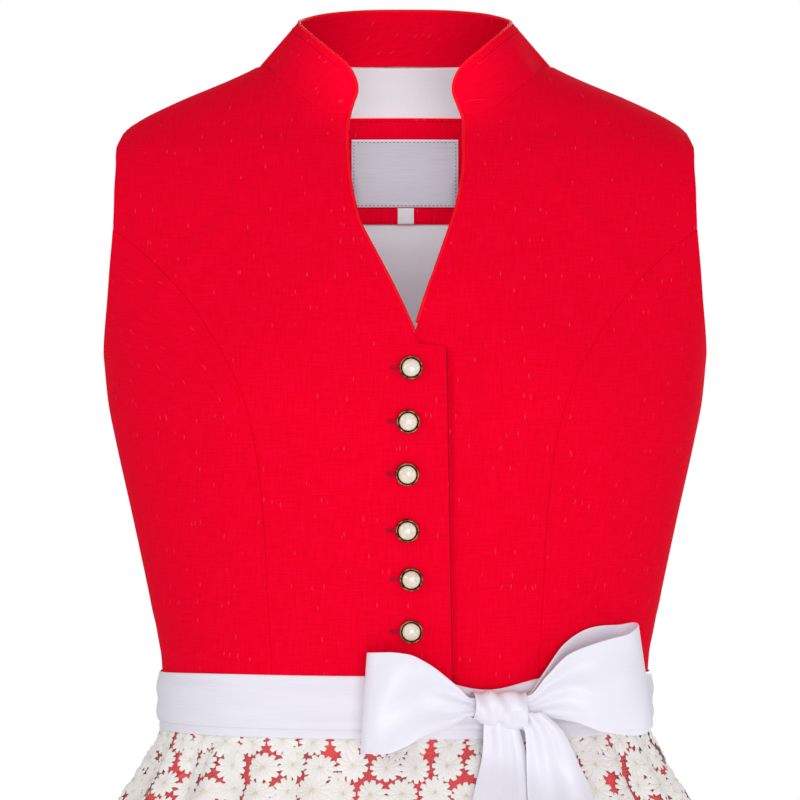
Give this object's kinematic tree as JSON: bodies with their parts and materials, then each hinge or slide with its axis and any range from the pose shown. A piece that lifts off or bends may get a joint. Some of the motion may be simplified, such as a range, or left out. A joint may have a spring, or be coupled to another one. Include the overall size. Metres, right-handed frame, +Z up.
{
  "type": "dirndl",
  "caption": "Sleeveless linen dirndl as worn: stand collar and V opening, buttoned lapped front, gathered skirt, lace apron, and a satin tie knotted into a bow.",
  "frame": {"origin": "midway between the shoulders, at the height of the middle of the shoulder seams", "axes": "+Z up along the wearer, -Y towards the front, +X towards the wearer's left"},
  "size_m": [0.6282, 0.5711, 1.0198],
  "materials": {
    "linen": "matte woven linen",
    "piping": "corded satin edge",
    "lining": "smooth cotton lining",
    "label_satin": "woven satin, bare",
    "tag_tape": "folded tape, bare",
    "lace": "floral lace on net",
    "satin": "glossy satin",
    "brass": "antiqued, milled edge",
    "pearl": "pearlescent"
  },
  "bodies": {
    "root": {"front_right": "linen", "front_left": "linen", "side_front_right": "linen", "side_front_left": "linen", "side_back_right": "linen", "side_back_left": "linen", "back": "linen", "collar": "linen", "neck_piping": "piping", "lining_back": "lining", "label_strip": "linen", "label": "label_satin", "size_tag": "tag_tape", "skirt_front": "linen", "skirt_back": "linen", "apron": "lace", "apron_band": "satin", "tie": "satin", "bow_loop_left": "satin", "bow_loop_right": "satin", "bow_knot": "satin", "bow_tail_left": "satin", "bow_tail_right": "satin", "button_rim_1": "brass", "button_rim_2": "brass", "button_rim_3": "brass", "button_rim_4": "brass", "button_rim_5": "brass", "button_rim_6": "brass", "button_pearl_1": "pearl", "button_pearl_2": "pearl", "button_pearl_3": "pearl", "button_pearl_4": "pearl", "button_pearl_5": "pearl", "button_pearl_6": "pearl"}
  },
  "joints": []
}
